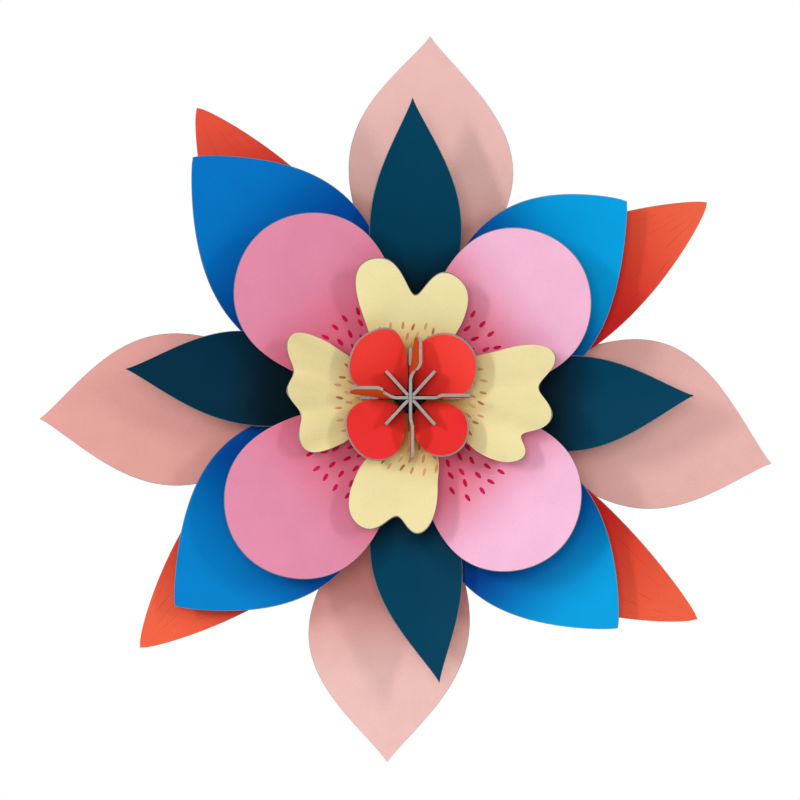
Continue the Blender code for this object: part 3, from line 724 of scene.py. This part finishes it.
def brown_seeds(tree, flat, colour):
    """Print the seeds of a yellow petal."""
    return seeds(tree, flat, colour, YELLOW_SEEDS, SEED_BROWN, SEED_SALMON)


yellow_print = printed_board("yellow", YELLOW_LIT, YELLOW_SHADED, YELLOW_SHADED_BASE, YELLOW_FADE,
                             brown_seeds)
for ray, bent in YELLOW_PETALS.items():
    along, aside, shares, angles = fan(YELLOW_RING, bent)
    points = bend_sheet(YELLOW_RING, ray, bent, along, aside, shares, flutes(bent, angles))
    petal = board_piece(f"yellow_petal_{ray}_board", points, along, aside, shares, bent,
                        yellow_print)
    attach(petal, "root")
    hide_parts(f"yellow_petal_{ray}")


# Red petals
# The front ring: four small cupped petals close around the star, printed a warm red. The two
# lower ones take a deeper red, painted shade where the lamps light them less, and the base stays
# bright, painted light against the shade beside the star. The upper left one is cut to a curve
# of its own.

RED_RING = dict(seat=0.0920, root=0.017, reach=0.0494, rise=34.0, lift=0.003,
                foot_half=0.003, belly=0.588, taper=0.485, turn_length=0.020)
RED_PETALS = {
    "upper_right": dict(foot=0.006, longer=0.002, left=0.0214, right=0.0197, turn=-12.0,
                        bend=0.0013, ink=0.0),
    "upper_left": dict(foot=0.006, longer=0.001, left=0.0185, right=0.0225, turn=2.0,
                       bend=-0.0035, belly=0.664, taper=0.55, ink=0.3),
    "lower_left": dict(foot=0.0105, longer=0.0, left=0.0168, right=0.0221, turn=3.5,
                       bend=0.0007, ink=0.9),
    "lower_right": dict(foot=0.009, longer=-0.0026, left=0.0160, right=0.0171, turn=4.0,
                        bend=-0.001, ink=1.0),
}
RED_LIT = (254, 72, 62)
RED_SHADED = (240, 52, 52)
RED_LIT_BASE = (254, 64, 56)
RED_FADE = (0.015, 0.040)

blade_ring("red_petal", RED_RING, RED_PETALS,
           printed_board("red", RED_LIT, RED_SHADED, RED_LIT_BASE, RED_FADE),
           round_end=True)


# Room
# A pale round floor well below the flower and white air behind it. A soft lamp hangs on each
# side of the camera, the left one stronger, and a weaker one close beside it. The camera looks
# square at the wall.

FLOOR_DROP = 0.60
FLOOR_RADIUS = 1.5
FLOOR_GREY = (228, 228, 228)
CAMERA_PLACE = (-0.0069, -1.900, -0.0015)
SENSOR_WIDTH = 36.0
FOCAL_PIXELS = 2722
IMAGE_PIXELS = 800
LAMP_DISTANCE = 2.2
LAMPS = {
    "left_lamp": dict(turn=-35.0, climb=14.0, power=29.0, size=0.5),
    "right_lamp": dict(turn=34.0, climb=12.0, power=20.0, size=0.5),
    "front_lamp": dict(turn=-4.0, climb=5.0, power=13.0, size=0.6),
}
AIR_LIGHT = 0.38


def room_floor():
    """Lay a pale disc under the flower."""
    bpy.ops.mesh.primitive_circle_add(vertices=96, radius=FLOOR_RADIUS, fill_type="NGON",
                                      location=(0, 0, -FLOOR_DROP))
    floor = bpy.context.active_object
    floor.name = "floor"
    material, _, shader = new_material("pale_floor")
    shader.inputs["Base Color"].default_value = ink(FLOOR_GREY)
    shader.inputs["Roughness"].default_value = 0.9
    floor.data.materials.append(material)


def white_air():
    """Show white behind everything, in reflections too, and shine evenly at a lower level."""
    world = bpy.data.worlds.new("white_air")
    world.use_nodes = True
    bpy.context.scene.world = world
    tree = world.node_tree
    sky = tree.nodes["Background"]
    sky.inputs["Color"].default_value = (1.0, 1.0, 1.0, 1.0)
    path = put(tree, "ShaderNodeLightPath", {})
    seen = calc(tree, "MAXIMUM", path.outputs["Is Camera Ray"], path.outputs["Is Glossy Ray"])
    seen = calc(tree, "MAXIMUM", seen, path.outputs["Is Transmission Ray"])
    tree.links.new(calc(tree, "MULTIPLY_ADD", seen, 1.0 - AIR_LIGHT, AIR_LIGHT),
                   sky.inputs["Strength"])


def soft_lamp(name, turn, climb, power, size):
    """Hang a square lamp, aimed at the flower, at its angles beside and above the camera's axis.

    The angles are in degrees, the power in watts and the size in metres.
    """
    light = bpy.data.lights.new(name, "AREA")
    light.shape = "SQUARE"
    light.size = size
    light.energy = power
    lamp = bpy.data.objects.new(name, light)
    bpy.context.scene.collection.objects.link(lamp)
    side, up = math.radians(turn), math.radians(climb)
    lamp.location = (LAMP_DISTANCE * math.sin(side) * math.cos(up),
                     -LAMP_DISTANCE * math.cos(side) * math.cos(up),
                     LAMP_DISTANCE * math.sin(up))
    lamp.rotation_euler = (math.pi / 2 - up, 0.0, -side)


room_floor()
white_air()
for name, lamp in LAMPS.items():
    soft_lamp(name, **lamp)

camera_data = bpy.data.cameras.new("camera")
camera_data.sensor_width = SENSOR_WIDTH
camera_data.lens = SENSOR_WIDTH * FOCAL_PIXELS / IMAGE_PIXELS
camera = bpy.data.objects.new("camera", camera_data)
camera.location = CAMERA_PLACE
camera.rotation_euler = (math.pi / 2, 0.0, 0.0)
bpy.context.scene.collection.objects.link(camera)
bpy.context.scene.camera = camera
bpy.context.scene.view_settings.view_transform = "Standard"
